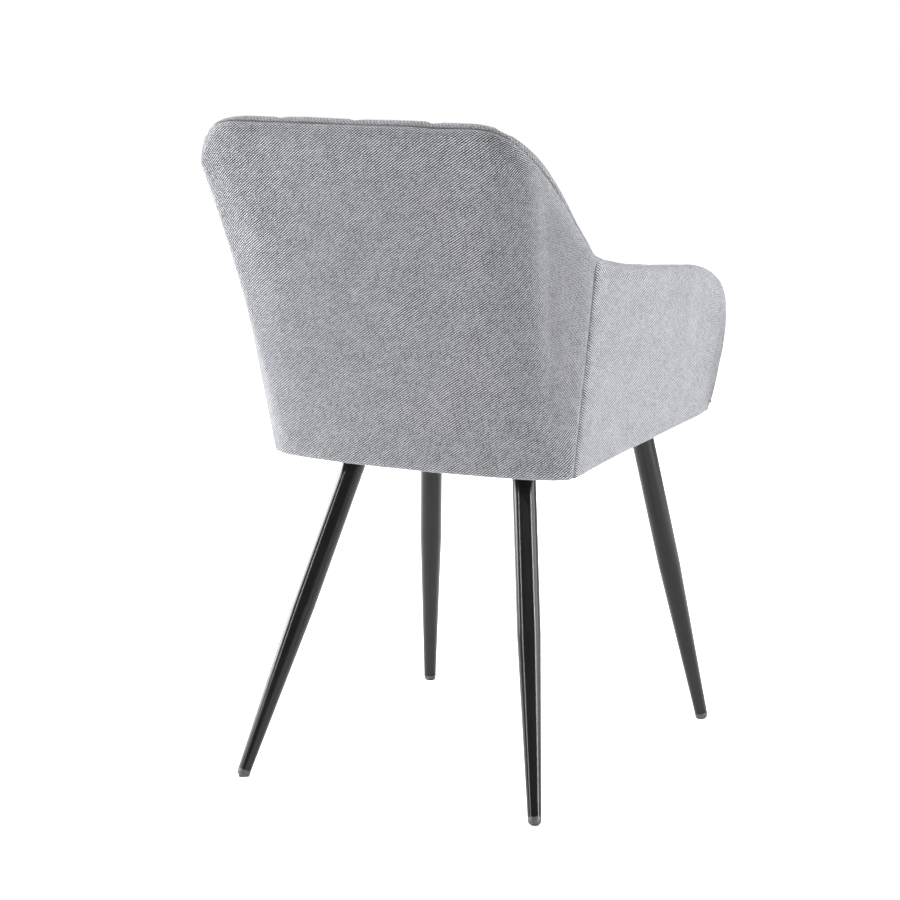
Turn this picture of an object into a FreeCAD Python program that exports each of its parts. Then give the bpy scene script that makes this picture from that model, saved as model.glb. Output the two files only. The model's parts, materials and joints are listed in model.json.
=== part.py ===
import FreeCAD, Part
import math
import os
import Sketcher

V = FreeCAD.Vector

# Upholstered tub dining chair on four splayed steel legs. Millimetres, +Z up, the sitter faces -Y.
# The origin is on the floor, under the middle of the chair.

SIZES = {
    # Shell outline: the bottom edge of the shell, and the rim above it
    "base_rear_height": 394.0,
    "base_front_height": 411.0,
    "base_half_width": 200.0,
    "base_rear_y": 169.6,
    "front_y": -303.4,
    "front_toe_lift": 22.0,
    "back_height": 820.0,
    "back_top_y": 315.6,
    "back_shoulder_x": 188.0,
    "back_shoulder_drop": 8.0,
    "wing_x": 226.5,
    "wing_y": 237.0,
    "wing_height": 751.0,
    "seam_x": 244.0,
    "seam_y": 154.6,
    "arm_rear_height": 658.0,
    "arm_front_height": 606.0,
    "arm_front_x": 225.0,
    "arm_nose_height": 535.0,
    "arm_nose_extra": 12.0,
    "arm_nose_inset": 9.0,
    "arm_nose_sweep": 0.97,
    "arm_taper_power": 2.5,
    # Stations of the back between its middle and the seam: how far along, and how far forward
    "base_quarter_share": 0.36,
    "base_quarter_set": 1.5,
    "base_shoulder_share": 0.66,
    "base_shoulder_set": 7.0,
    "base_wing_share": 0.88,
    "base_wing_set": 17.0,
    "base_seam_inset": 1.0,
    "base_seam_set": 38.0,
    "rim_quarter_share": 0.56,
    "rim_quarter_set": 5.0,
    "rim_shoulder_set": 24.0,
    # Build-up of the padded shell, from the outside in
    "cover": 1.5,
    "wadding": 5.0,
    "shell_board": 10.0,
    "back_thickness": 50.0,
    "arm_thickness": 39.0,
    "layer_gap": 0.3,
    "foam_gap": 1.6,
    "foam_ledge": 1.0,
    "rim_clearance": 2.0,
    "board_end_gap": 24.0,
    "padding_end_gap": 2.0,
    "hem_lift": 3.0,
    "post_half_width": 20.0,
    "post_depth": 14.0,
    "post_drop": 45.0,
    "post_clearance": 1.0,
    # Seat
    "seat_board_lift": 30.0,
    "seat_board_thickness": 14.0,
    "seat_board_clearance": 0.5,
    "seat_board_setback": 31.0,
    "seat_corner_cut_x": 56.0,
    "seat_corner_cut_y": 65.0,
    "vent_radius": 11.0,
    "vent_pitch": 72.0,
    "vent_row_y": -40.0,
    "seat_overhang": 4.0,
    "seat_pad_gap": 2.0,
    "seat_pad_lift": 1.0,
    "seat_front_rise": 43.0,
    "seat_rear_rise": 35.0,
    "seat_skirt_drop": 10.0,
    "seat_corner_radius": 34.0,
    "seat_front_corner_radius": 20.0,
    "seat_nose_radius": 26.0,
    # Legs: where each axis meets the floor, and where it meets the plate
    "rear_foot_x": 201.7,
    "rear_foot_y": 230.4,
    "rear_plate_x": 108.7,
    "rear_plate_y": 77.6,
    "front_foot_x": 205.7,
    "front_foot_y": -270.6,
    "front_plate_x": 149.3,
    "front_plate_y": -171.9,
    "leg_radius": 14.75,
    "leg_tip_radius": 8.5,
    "leg_wall": 1.5,
    "leg_taper_length": 225.0,
    "leg_stock_factor": 1.2,
    "trim_reach": 400.0,
    "plate_side": 64.0,
    "plate_thickness": 4.0,
    "plate_inset": 6.0,
    "plate_corner_radius": 8.0,
    "bolt_edge": 9.0,
    "glide_height": 9.0,
    "glide_stem": 14.0,
    "glide_clearance": 0.2,
    "glide_tread_radius": 5.0,
    "glide_shoulder": 0.22,
    "glide_waist": 0.6,
    "glide_flare": 0.75,
    # Fasteners
    "bolt_radius": 3.0,
    "bolt_shortfall": 0.2,
    "bolt_head_radius": 5.25,
    "bolt_head_height": 3.3,
    "bolt_socket": 4.0,
    "bolt_socket_depth": 2.0,
    "bolt_hole_radius": 3.3,
    "washer_radius": 6.25,
    "washer_thickness": 1.2,
    "tnut_flange_radius": 9.5,
    "tnut_flange": 1.5,
    "tnut_barrel_radius": 4.0,
    "tnut_barrel_length": 9.0,
    "fit_clearance": 0.1,
    "screw_radius": 2.0,
    "screw_head_radius": 4.0,
    "screw_head_height": 2.4,
    "screw_grip": 9.0,
    "screw_sink": 0.9,
    "post_screw_length": 19.0,
    "post_screw_edge": 27.0,
    # Angle brackets between the seat board and the shell boards
    "bracket_width": 40.0,
    "bracket_flange": 32.0,
    "bracket_drop": 17.0,
    "bracket_sheet": 2.5,
    "bracket_gap": 2.8,
    "bracket_seat_hole": 0.6,
    "bracket_wall_hole": 0.62,
    "side_bracket_front_y": -104.4,
    "side_bracket_rear_y": -2.4,
    "back_bracket_x": 46.0,
    # Lining under the seat
    "lining": 1.0,
    "lining_inset": 4.0,
    "lining_front_inset": 20.0,
    "lining_corner_cut": 52.0,
    "lining_rear_share": 0.5,
    "lining_rear_set": 4.0,
    "lining_hole_level": 8.0,
    "lining_hole_radius": 20.0,
}

# Sizes that follow from the ones above
FITTED = {
    "seat_board_height": "sizes.base_rear_height + sizes.seat_board_lift",
    "seat_board_top": "seat_board_height + sizes.seat_board_thickness",
    "board_back": "sizes.cover + sizes.wadding + 2 * sizes.layer_gap",
    "board_face": "board_back + sizes.shell_board",
    "seat_board_half_width": "sizes.base_half_width - board_face - sizes.seat_board_clearance",
    "seat_board_rear_y": "sizes.base_rear_y - board_face - sizes.seat_board_clearance",
    "seat_board_front_y": "sizes.front_y + sizes.seat_board_setback",
    "seat_corner_x": "seat_board_half_width - sizes.seat_corner_cut_x",
    "seat_corner_y": "seat_board_rear_y - sizes.seat_corner_cut_y",
    "back_lean": (
        "(sizes.back_top_y - sizes.base_rear_y) / (sizes.back_height - "
        "sizes.base_rear_height)"
    ),
    "seat_pad_level": "seat_board_top + sizes.tnut_flange + sizes.seat_pad_lift",
    "seat_wall_y": (
        "sizes.base_rear_y + (seat_board_top - sizes.base_rear_height) * back_lean - "
        "sizes.back_thickness"
    ),
    "seat_rear_y": "seat_wall_y - sizes.cover - sizes.seat_pad_gap",
    "seat_front_y": "sizes.front_y - sizes.seat_overhang",
    "seat_half_width": "sizes.base_half_width - sizes.arm_thickness - sizes.seat_pad_gap",
    "seat_top_front": "seat_board_top + sizes.seat_front_rise",
    "seat_top_rear": "seat_board_top + sizes.seat_rear_rise",
    "seat_skirt_height": "seat_board_height - sizes.seat_skirt_drop",
    "plate_underside": "seat_board_height - sizes.plate_thickness",
    "bolt_pitch": "sizes.plate_side - 2 * sizes.bolt_edge",
    "bolt_length": (
        "sizes.washer_thickness + sizes.plate_thickness + sizes.seat_board_thickness - "
        "sizes.bolt_shortfall"
    ),
}

doc = FreeCAD.newDocument("dining_chair")


def fill_sheet(name, rows):
    sheet = doc.addObject("Spreadsheet::Sheet", name)
    for row, (alias, content) in enumerate(rows, start=1):
        sheet.set("A%d" % row, alias)
        sheet.set("B%d" % row, content)
        sheet.setAlias("B%d" % row, alias)
    doc.recompute()
    return sheet


sizes = fill_sheet("sizes", [(alias, str(number)) for alias, number in SIZES.items()])
fits = fill_sheet("fits", [(alias, "=" + formula) for alias, formula in FITTED.items()])

sub_parts = []
sides = {"left": 1, "right": -1}


def size(alias):
    return float((fits if alias in FITTED else sizes).get(alias))


def keep(item, label):
    """Name a finished object and put it on the list of sub-parts."""
    item.Label = label
    sub_parts.append(item)
    return item


def keep_shape(shape, label):
    item = doc.addObject("Part::Feature", label)
    item.Shape = shape
    return keep(item, label)


# Sketch and feature helpers. Every argument that is text is an expression on the sheet.


def new_body(name):
    return doc.addObject("PartDesign::Body", name)


def new_sketch(body, role):
    sketch = body.newObject("Sketcher::SketchObject", body.Name + "_sketch")
    plane = next(f for f in body.Origin.OriginFeatures if f.Role == role)
    sketch.AttachmentSupport = (plane, [""])
    sketch.MapMode = "FlatFace"
    return sketch


def bind(sketch, constraint, expression):
    index = sketch.addConstraint(constraint)
    sketch.setExpression("Constraints[%d]" % index, expression)


def pin(sketch, geometry, point, across, up):
    """Hold one point of the sketch at (across, up)."""
    for kind, expression in (("DistanceX", across), ("DistanceY", up)):
        value = sketch.evalExpression(expression)
        bind(sketch, Sketcher.Constraint(kind, -1, 1, geometry, point, value), expression)


def polygon(sketch, corners):
    first = sketch.GeometryCount
    count = len(corners)
    places = [V(sketch.evalExpression(a), sketch.evalExpression(b), 0) for a, b in corners]
    for i in range(count):
        sketch.addGeometry(Part.LineSegment(places[i], places[(i + 1) % count]), False)
    for i in range(count):
        following = first + (i + 1) % count
        sketch.addConstraint(Sketcher.Constraint("Coincident", first + i, 2, following, 1))
    for i, (across, up) in enumerate(corners):
        pin(sketch, first + i, 1, across, up)


def circle(sketch, across, up, radius):
    centre = V(sketch.evalExpression(across), sketch.evalExpression(up), 0)
    value = sketch.evalExpression(radius)
    index = sketch.addGeometry(Part.Circle(centre, V(0, 0, 1), value), False)
    pin(sketch, index, 3, across, up)
    bind(sketch, Sketcher.Constraint("Radius", index, value), radius)


def pad(body, sketch, length, symmetric=False):
    feature = body.newObject("PartDesign::Pad", body.Name + "_pad")
    feature.Profile = sketch
    feature.SideType = "Symmetric" if symmetric else "One side"
    feature.setExpression("Length", length)
    doc.recompute()
    return feature


def pocket_both_ways(body, sketch, length):
    """Pocket on both sides of the sketch, which must take material away."""
    before = body.Shape.Volume
    feature = body.newObject("PartDesign::Pocket", body.Name + "_pocket")
    feature.Profile = sketch
    feature.SideType = "Symmetric"
    feature.setExpression("Length", length)
    doc.recompute()
    if body.Shape.Volume > before - 1:
        raise RuntimeError(body.Name + ": the pocket cuts nothing")
    return feature


def revolve(body, sketch):
    feature = body.newObject("PartDesign::Revolution", body.Name + "_turn")
    feature.Profile = sketch
    feature.ReferenceAxis = (sketch, ["V_Axis"])
    feature.Angle = 360
    doc.recompute()
    return feature


def fillet(body, base, radius, wanted):
    """Round the straight edges of a feature that the test picks out."""
    names = []
    for number, edge in enumerate(base.Shape.Edges, start=1):
        if edge.Curve.TypeId == "Part::GeomLine" and wanted(edge):
            names.append("Edge%d" % number)
    if not names:
        raise RuntimeError(body.Name + ": no edge to round")
    feature = body.newObject("PartDesign::Fillet", body.Name + "_round")
    feature.Base = (base, names)
    feature.setExpression("Radius", radius)
    doc.recompute()
    return feature


def is_upright(edge):
    return abs(edge.Curve.Direction.z) > 0.99


# The padded shell: vertical sections between the bottom edge and the rim


def base_height(y):
    """Height of the bottom edge, which rises evenly towards the front."""
    rise = size("base_front_height") - size("base_rear_height")
    run = size("base_rear_y") - size("front_y")
    return size("base_rear_height") + (size("base_rear_y") - y) * rise / run


def arm_height(y):
    """Height of the arm's rim, which falls evenly towards the front."""
    fall = size("arm_rear_height") - size("arm_front_height")
    run = size("seam_y") - size("front_y") - arm_nose_run()
    return size("arm_rear_height") - (size("seam_y") - y) * fall / run


def arm_nose_run():
    """How far back from the front of the arm its rim starts to round over."""
    return size("arm_front_height") - size("arm_nose_height") + size("arm_nose_extra")


SECTION_COUNT = 16


class Strip:
    """A stretch of the shell, given by matching points on its bottom edge and its rim."""

    def __init__(self, bases, rims, thickness):
        steps = [0.0]
        for i in range(1, len(bases)):
            chord = (bases[i] - bases[i - 1]).Length + (rims[i] - rims[i - 1]).Length
            steps.append(steps[-1] + chord / 2)
        self.base = Part.BSplineCurve()
        self.base.interpolate(Points=bases, Parameters=steps)
        self.rim = Part.BSplineCurve()
        self.rim.interpolate(Points=rims, Parameters=steps)
        self.steps = steps
        self.length = steps[-1]
        self.thickness = thickness

    def outward(self, t):
        across = self.rim.value(t) - self.base.value(t)
        return V(across.x, across.y, 0).normalize()

    def point(self, t, depth, height):
        """Point at a depth inside the outer face and a height above the floor."""
        low = self.base.value(t)
        high = self.rim.value(t)
        share = (height - low.z) / (high.z - low.z)
        return low + (high - low) * share - self.outward(t) * depth

    def lean(self, t):
        """Outward lean of the outer face, as a tangent."""
        low = self.base.value(t)
        high = self.rim.value(t)
        return V(high.x - low.x, high.y - low.y, 0).Length / (high.z - low.z)


ARM_SHARES = (0.21, 0.475, 0.764, 1.0)
NOSE_SHARES = (0.6, 1.0)


def back_padding(strip, t):
    """Thickness of the back, which swells from the seams towards its middle."""
    middle = strip.length / 2
    off_centre = abs(t - middle) / middle
    swell = size("back_thickness") - size("arm_thickness")
    return size("arm_thickness") + swell * (1 - off_centre**2)


def arm_padding(strip, t):
    return size("arm_thickness")


def mirrored(points):
    return [V(-p.x, p.y, p.z) for p in reversed(points[1:])]


def back_outline():
    """Bottom edge and rim of the left half of the back, from its middle to the seam."""
    half = size("base_half_width")
    rear = size("base_rear_y")
    top = size("back_height")
    top_y = size("back_top_y")
    shoulder = size("back_shoulder_x")
    plan = [(0, rear)]
    for station in ("quarter", "shoulder", "wing"):
        plan.append((half * size("base_%s_share" % station), rear - size("base_%s_set" % station)))
    plan.append((half - size("base_seam_inset"), rear - size("base_seam_set")))
    rim = [
        V(0, top_y, top),
        V(shoulder * size("rim_quarter_share"), top_y - size("rim_quarter_set"), top),
        V(shoulder, top_y - size("rim_shoulder_set"), top - size("back_shoulder_drop")),
        V(size("wing_x"), size("wing_y"), size("wing_height")),
        V(size("seam_x"), size("seam_y"), size("arm_rear_height")),
    ]
    return [V(x, y, base_height(y)) for x, y in plan], rim


def arm_outline(seam_base, seam_rim):
    """Bottom edge and rim of the left arm, from the seam to the front."""
    half = size("base_half_width")
    front = size("front_y")
    nose = arm_nose_run()
    taper = size("seam_x") - size("arm_front_x")
    bases = [seam_base]
    rims = [seam_rim]
    for share in ARM_SHARES:
        y = size("seam_y") + (front + nose - size("seam_y")) * share
        x = size("seam_x") - taper * share ** size("arm_taper_power")
        bases.append(V(half, y, base_height(y)))
        rims.append(V(x, y, arm_height(y)))
    fall = size("arm_front_height") - size("arm_nose_height")
    sweep = size("arm_nose_sweep")
    full_drop = 1 - math.sqrt(1 - sweep**2)
    for share in NOSE_SHARES:
        y = front + nose * (1 - share)
        drop = 1 - math.sqrt(1 - (sweep * share) ** 2)
        toe = size("front_toe_lift") * share**4
        x = size("arm_front_x") - size("arm_nose_inset") * share
        bases.append(V(half, y, base_height(y) + toe))
        rims.append(V(x, y, size("arm_front_height") - fall * drop / full_drop))
    return bases, rims


def shell_strips():
    bases, rims = back_outline()
    back = Strip(mirrored(bases) + bases, mirrored(rims) + rims, back_padding)
    arm_bases, arm_rims = arm_outline(bases[-1], rims[-1])
    arms = {}
    for side, sign in sides.items():
        placed_bases = [V(sign * p.x, p.y, p.z) for p in arm_bases]
        placed_rims = [V(sign * p.x, p.y, p.z) for p in arm_rims]
        arms[side] = Strip(placed_bases, placed_rims, arm_padding)
    return back, arms


def rim_roll_start(strip, t):
    """Height at which the roll over the rim starts."""
    return strip.rim.value(t).z - strip.thickness(strip, t) / 2


def outer_cover_section(strip, t):
    full = strip.thickness(strip, t)
    roll = full / 2
    thin = size("cover")
    low = strip.base.value(t).z
    top = strip.rim.value(t).z
    shoulder = rim_roll_start(strip, t)
    turn = math.sqrt(0.5)
    return [
        ("line", (0, low), (0, shoulder)),
        ("arc", (roll * (1 - turn), shoulder + roll * turn), (roll, top)),
        ("line", (roll, top - thin)),
        ("arc", (roll - (roll - thin) * turn, shoulder + (roll - thin) * turn), (thin, shoulder)),
        ("line", (thin, low)),
    ]


def inner_cover_section(strip, t):
    full = strip.thickness(strip, t)
    roll = full / 2
    thin = size("cover")
    low = size("seat_pad_level")
    top = strip.rim.value(t).z
    shoulder = rim_roll_start(strip, t)
    turn = math.sqrt(0.5)
    start = roll + size("layer_gap")
    return [
        ("line", (full, low), (full, shoulder)),
        ("arc", (roll * (1 + turn), shoulder + roll * turn), (start, top)),
        ("line", (start, top - thin)),
        ("arc", (roll + (roll - thin) * turn, shoulder + (roll - thin) * turn), (full - thin, shoulder)),
        ("line", (full - thin, low)),
    ]


def slab_section(strip, t, near, far, drop):
    """Flat layer that stands on the hem and stops under the roll of the rim."""
    low = strip.base.value(t).z + size("hem_lift")
    top = rim_roll_start(strip, t) - drop
    return [("line", (near, low), (near, top)), ("line", (far, top)), ("line", (far, low))]


def wadding_section(strip, t):
    near = size("cover") + size("layer_gap")
    return slab_section(strip, t, near, near + size("wadding"), size("rim_clearance"))


def board_section(strip, t):
    return slab_section(strip, t, size("board_back"), size("board_face"), size("rim_clearance"))


def post_section(strip, t):
    near = size("board_face") + size("layer_gap")
    return slab_section(strip, t, near, near + size("post_depth"), size("post_drop"))


def foam_section(strip, t):
    """Padding in front of the board, with a roll at the top that hooks over it."""
    skin = size("cover") + size("foam_gap")
    full = strip.thickness(strip, t)
    roll = full / 2 - skin
    top = strip.rim.value(t).z - skin
    shoulder = top - roll
    side = roll * math.sqrt(0.5)
    ledge = shoulder - size("foam_ledge")
    back = size("board_face") + size("foam_gap")
    low = size("seat_pad_level")
    return [
        ("line", (full - skin, low), (full - skin, shoulder)),
        ("arc", (full / 2 + side, shoulder + side), (full / 2, top)),
        ("arc", (full / 2 - side, shoulder + side), (skin, shoulder)),
        ("line", (skin, ledge)),
        ("line", (back, ledge)),
        ("line", (back, low)),
    ]


def envelope_section(strip, t):
    """Block that holds the whole thickness of the strip, with a margin around it."""
    margin = size("wadding")
    far = strip.thickness(strip, t) + margin
    low = strip.base.value(t).z
    top = strip.rim.value(t).z + margin
    return [("line", (-margin, low), (-margin, top)), ("line", (far, top)), ("line", (far, low))]


def section_wire(strip, t, section):
    steps = section(strip, t)
    start = steps[0][1]
    here = strip.point(t, *start)
    edges = []
    for step in steps:
        end = strip.point(t, *step[-1])
        if step[0] == "arc":
            edges.append(Part.Arc(here, strip.point(t, *step[1]), end).toShape())
        else:
            edges.append(Part.LineSegment(here, end).toShape())
        here = end
    edges.append(Part.LineSegment(here, strip.point(t, *start)).toShape())
    return Part.Wire(edges)


def layer(strip, section, start, stop):
    """Loft one layer through its two ends and the sections that every layer of the strip shares."""
    pitch = strip.length / SECTION_COUNT
    foam_end = size("post_half_width") + size("post_clearance")
    shared = [pitch * i for i in range(1, SECTION_COUNT)] + [foam_end, strip.length - foam_end]
    shared.sort()
    inner = [t for t in shared if start + pitch / 4 < t < stop - pitch / 4]
    wires = [section_wire(strip, t, section) for t in [start] + inner + [stop]]
    return Part.makeLoft(wires, True, False)


def padding_layer(strip, first, last, start, stop):
    """Foam lofted like the cover over it, from first to last, and kept between start and stop."""
    whole = layer(strip, foam_section, first, last)
    return whole.common(layer(strip, envelope_section, start, stop))


# Fasteners


def cylinder(radius, length, start, direction):
    return Part.makeCylinder(radius, length, start, direction)


def wood_screw(seat_point, direction, length):
    """Pan-head screw whose head rests at seat_point; direction points into the wood."""
    head = size("screw_head_height")
    top = cylinder(size("screw_head_radius"), head, seat_point - direction * head, direction)
    return top.fuse(cylinder(size("screw_radius"), length, seat_point, direction))


def screw_hole(seat_point, direction, length):
    clearance = size("fit_clearance")
    return cylinder(size("screw_radius") + clearance, length + clearance, seat_point, direction)


def leg_bolt_points():
    """Every bolt's place on the underside of the leg plates."""
    pitch = size("bolt_pitch") / 2
    height = size("plate_underside")
    points = []
    for end in ("rear", "front"):
        for sign in sides.values():
            x, y = plate_centre(end, sign)
            points += [V(x + pitch * i, y + pitch * j, height) for i in (-1, 1) for j in (-1, 1)]
    return points


def plate_centre(end, sign):
    inset = size("plate_inset")
    return sign * (size(end + "_plate_x") - inset), size(end + "_plate_y")


def hex_prism(across_flats, height, centre):
    radius = across_flats / math.sqrt(3)
    corners = [
        centre + V(radius * math.cos(math.radians(60 * i)), radius * math.sin(math.radians(60 * i)), 0)
        for i in range(7)
    ]
    return Part.Face(Part.makePolygon(corners)).extrude(V(0, 0, height))


def make_leg_fasteners():
    up = V(0, 0, 1)
    bolts = []
    washers = []
    nuts = []
    washer = size("washer_thickness")
    head = size("bolt_head_height")
    bore = size("bolt_radius") + size("fit_clearance")
    board_top = size("seat_board_top")
    barrel = size("tnut_barrel_length")
    for point in leg_bolt_points():
        ring = cylinder(size("washer_radius"), washer, point - up * washer, up)
        washers.append(ring.cut(cylinder(size("bolt_hole_radius"), washer, point - up * washer, up)))
        seat = point - up * washer
        bolt = cylinder(size("bolt_head_radius"), head, seat - up * head, up)
        bolt = bolt.fuse(cylinder(size("bolt_radius"), size("bolt_length"), seat, up))
        socket = hex_prism(size("bolt_socket"), size("bolt_socket_depth"), seat - up * head)
        bolts.append(bolt.cut(socket))
        top = V(point.x, point.y, board_top)
        nut = cylinder(size("tnut_flange_radius"), size("tnut_flange"), top, up)
        nut = nut.fuse(cylinder(size("tnut_barrel_radius"), barrel, top - up * barrel, up))
        nuts.append(nut.cut(cylinder(bore, barrel + size("tnut_flange"), top - up * barrel, up)))
    keep_shape(Part.makeCompound(bolts), "leg_bolts")
    keep_shape(Part.makeCompound(washers), "leg_washers")
    keep_shape(Part.makeCompound(nuts), "seat_t_nuts")


# Legs


def leg_placement(end, sign):
    """Put the leg's own Z axis on the line from its foot to its plate."""
    foot = V(sign * size(end + "_foot_x"), size(end + "_foot_y"), 0)
    head = V(sign * size(end + "_plate_x"), size(end + "_plate_y"), size("plate_underside"))
    return FreeCAD.Placement(foot, FreeCAD.Rotation(V(0, 0, 1), head - foot))


def cutting_box(name, height, upwards):
    """Large box above or below a level, which trims what passes through it."""
    box = doc.addObject("Part::Box", name)
    box.setExpression("Length", "2 * sizes.trim_reach")
    box.setExpression("Width", "2 * sizes.trim_reach")
    box.setExpression("Height", "sizes.trim_reach / 4")
    box.setExpression("Placement.Base.x", "-sizes.trim_reach")
    box.setExpression("Placement.Base.y", "-sizes.trim_reach")
    box.setExpression("Placement.Base.z", height if upwards else height + " - sizes.trim_reach / 4")
    return box


def make_leg(end, side, sign, above_plate, below_floor):
    name = "%s_%s" % (end, side)
    tube = new_body("tube_" + name)
    sketch = new_sketch(tube, "XZ_Plane")
    straight_end = "fits.seat_board_height * sizes.leg_stock_factor"
    polygon(sketch, [
        ("sizes.leg_tip_radius - sizes.leg_wall", "sizes.glide_height"),
        ("sizes.leg_tip_radius", "sizes.glide_height"),
        ("sizes.leg_radius", "sizes.leg_taper_length"),
        ("sizes.leg_radius", straight_end),
        ("sizes.leg_radius - sizes.leg_wall", straight_end),
        ("sizes.leg_radius - sizes.leg_wall", "sizes.leg_taper_length"),
    ])
    revolve(tube, sketch)
    tube.Placement = leg_placement(end, sign)
    leg = doc.addObject("Part::Cut", "leg_" + name)
    leg.Base = tube
    leg.Tool = above_plate
    keep(leg, "leg_" + name)

    plug = new_body("plug_" + name)
    sketch = new_sketch(plug, "XZ_Plane")
    stem = "sizes.leg_tip_radius - sizes.leg_wall - sizes.glide_clearance"
    below = "-sizes.glide_height / 2"
    tread = "sizes.glide_tread_radius"
    shoulder = "%s + (sizes.leg_tip_radius - %s) * sizes.glide_flare" % (tread, tread)
    polygon(sketch, [
        ("0", below),
        (tread, below),
        (tread, "0"),
        (shoulder, "sizes.glide_height * sizes.glide_shoulder"),
        ("sizes.leg_tip_radius", "sizes.glide_height * sizes.glide_waist"),
        ("sizes.leg_tip_radius", "sizes.glide_height"),
        (stem, "sizes.glide_height"),
        (stem, "sizes.glide_height + sizes.glide_stem"),
        ("0", "sizes.glide_height + sizes.glide_stem"),
    ])
    revolve(plug, sketch)
    plug.Placement = leg_placement(end, sign)
    glide = doc.addObject("Part::Cut", "glide_" + name)
    glide.Base = plug
    glide.Tool = below_floor
    keep(glide, "glide_" + name)

    plate = new_body("leg_plate_" + name)
    sketch = new_sketch(plate, "XY_Plane")
    half = "sizes.plate_side / 2"
    polygon(sketch, [("-" + half, "-" + half), (half, "-" + half), (half, half), ("-" + half, half)])
    reach = "fits.bolt_pitch / 2"
    for i in ("-", ""):
        for j in ("-", ""):
            circle(sketch, i + reach, j + reach, "sizes.bolt_hole_radius")
    slab = pad(plate, sketch, "sizes.plate_thickness")
    fillet(plate, slab, "sizes.plate_corner_radius", is_upright)
    plate.Placement.Base = V(*plate_centre(end, sign), size("plate_underside"))
    keep(plate, "leg_plate_" + name)


def make_legs():
    above_plate = cutting_box("above_plate", "fits.plate_underside", True)
    below_floor = cutting_box("below_floor", "0", False)
    for end in ("rear", "front"):
        for side, sign in sides.items():
            make_leg(end, side, sign, above_plate, below_floor)


# Seat


def make_seat_board(screw_places):
    board = new_body("seat_board")
    sketch = new_sketch(board, "XY_Plane")
    wide = "fits.seat_board_half_width"
    corner_x = "fits.seat_corner_x"
    polygon(sketch, [
        ("-" + wide, "fits.seat_board_front_y"),
        (wide, "fits.seat_board_front_y"),
        (wide, "fits.seat_corner_y"),
        (corner_x, "fits.seat_board_rear_y"),
        ("-" + corner_x, "fits.seat_board_rear_y"),
        ("-" + wide, "fits.seat_corner_y"),
    ])
    for i in (-1, 0, 1):
        for j in (-1, 0, 1):
            across = "%d * sizes.vent_pitch" % i
            circle(sketch, across, "%d * sizes.vent_pitch + sizes.vent_row_y" % j, "sizes.vent_radius")
    hole = "sizes.tnut_barrel_radius + sizes.fit_clearance"
    reach = "fits.bolt_pitch / 2"
    for end in ("rear", "front"):
        for sign in ("-", ""):
            centre = "%s(sizes.%s_plate_x - sizes.plate_inset)" % (sign, end)
            for i in ("-", "+"):
                for j in ("-", "+"):
                    across = "%s %s %s" % (centre, i, reach)
                    circle(sketch, across, "sizes.%s_plate_y %s %s" % (end, j, reach), hole)
    pad(board, sketch, "sizes.seat_board_thickness")
    drill = new_sketch(board, "XY_Plane")
    for x, y in screw_places:
        circle(drill, repr(x), repr(y), "sizes.screw_radius + sizes.fit_clearance")
    pocket_both_ways(board, drill, "2 * sizes.screw_grip")
    board.setExpression("Placement.Base.z", "fits.seat_board_height")
    keep(board, "seat_board")


def is_front(edge):
    return edge.CenterOfMass.y < size("seat_front_y") + 1


def is_rear_corner(edge):
    return is_upright(edge) and edge.CenterOfMass.y > 0


def is_front_corner(edge):
    return is_upright(edge) and is_front(edge)


def is_nose(edge):
    along = abs(edge.Curve.Direction.x) > 0.9
    return along and is_front(edge) and edge.CenterOfMass.z > size("seat_board_top")


def seat_block(name, skin):
    """Seat pad as a side profile drawn across the seat, grown by a skin on every padded face."""
    block = new_body(name)
    sketch = new_sketch(block, "YZ_Plane")
    front = "fits.seat_front_y - " + skin
    rear = "fits.seat_rear_y + " + skin
    lip = "fits.seat_board_front_y - sizes.cover"
    polygon(sketch, [
        (front, "fits.seat_skirt_height"),
        (lip, "fits.seat_skirt_height"),
        (lip, "fits.seat_pad_level"),
        (rear, "fits.seat_pad_level"),
        (rear, "fits.seat_top_rear + " + skin),
        (front, "fits.seat_top_front + " + skin),
    ])
    slab = pad(block, sketch, "2 * (fits.seat_half_width + %s)" % skin, symmetric=True)
    body = fillet(block, slab, "sizes.seat_corner_radius + " + skin, is_rear_corner)
    body = fillet(block, body, "sizes.seat_front_corner_radius + " + skin, is_front_corner)
    fillet(block, body, "sizes.seat_nose_radius + " + skin, is_nose)
    return block


def make_seat_pad():
    foam = keep(seat_block("seat_foam", "0"), "seat_foam")
    outside = seat_block("seat_outside", "sizes.cover")
    cover = doc.addObject("Part::Cut", "seat_cover")
    cover.Base = outside
    cover.Tool = foam
    keep(cover, "seat_cover")


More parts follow.
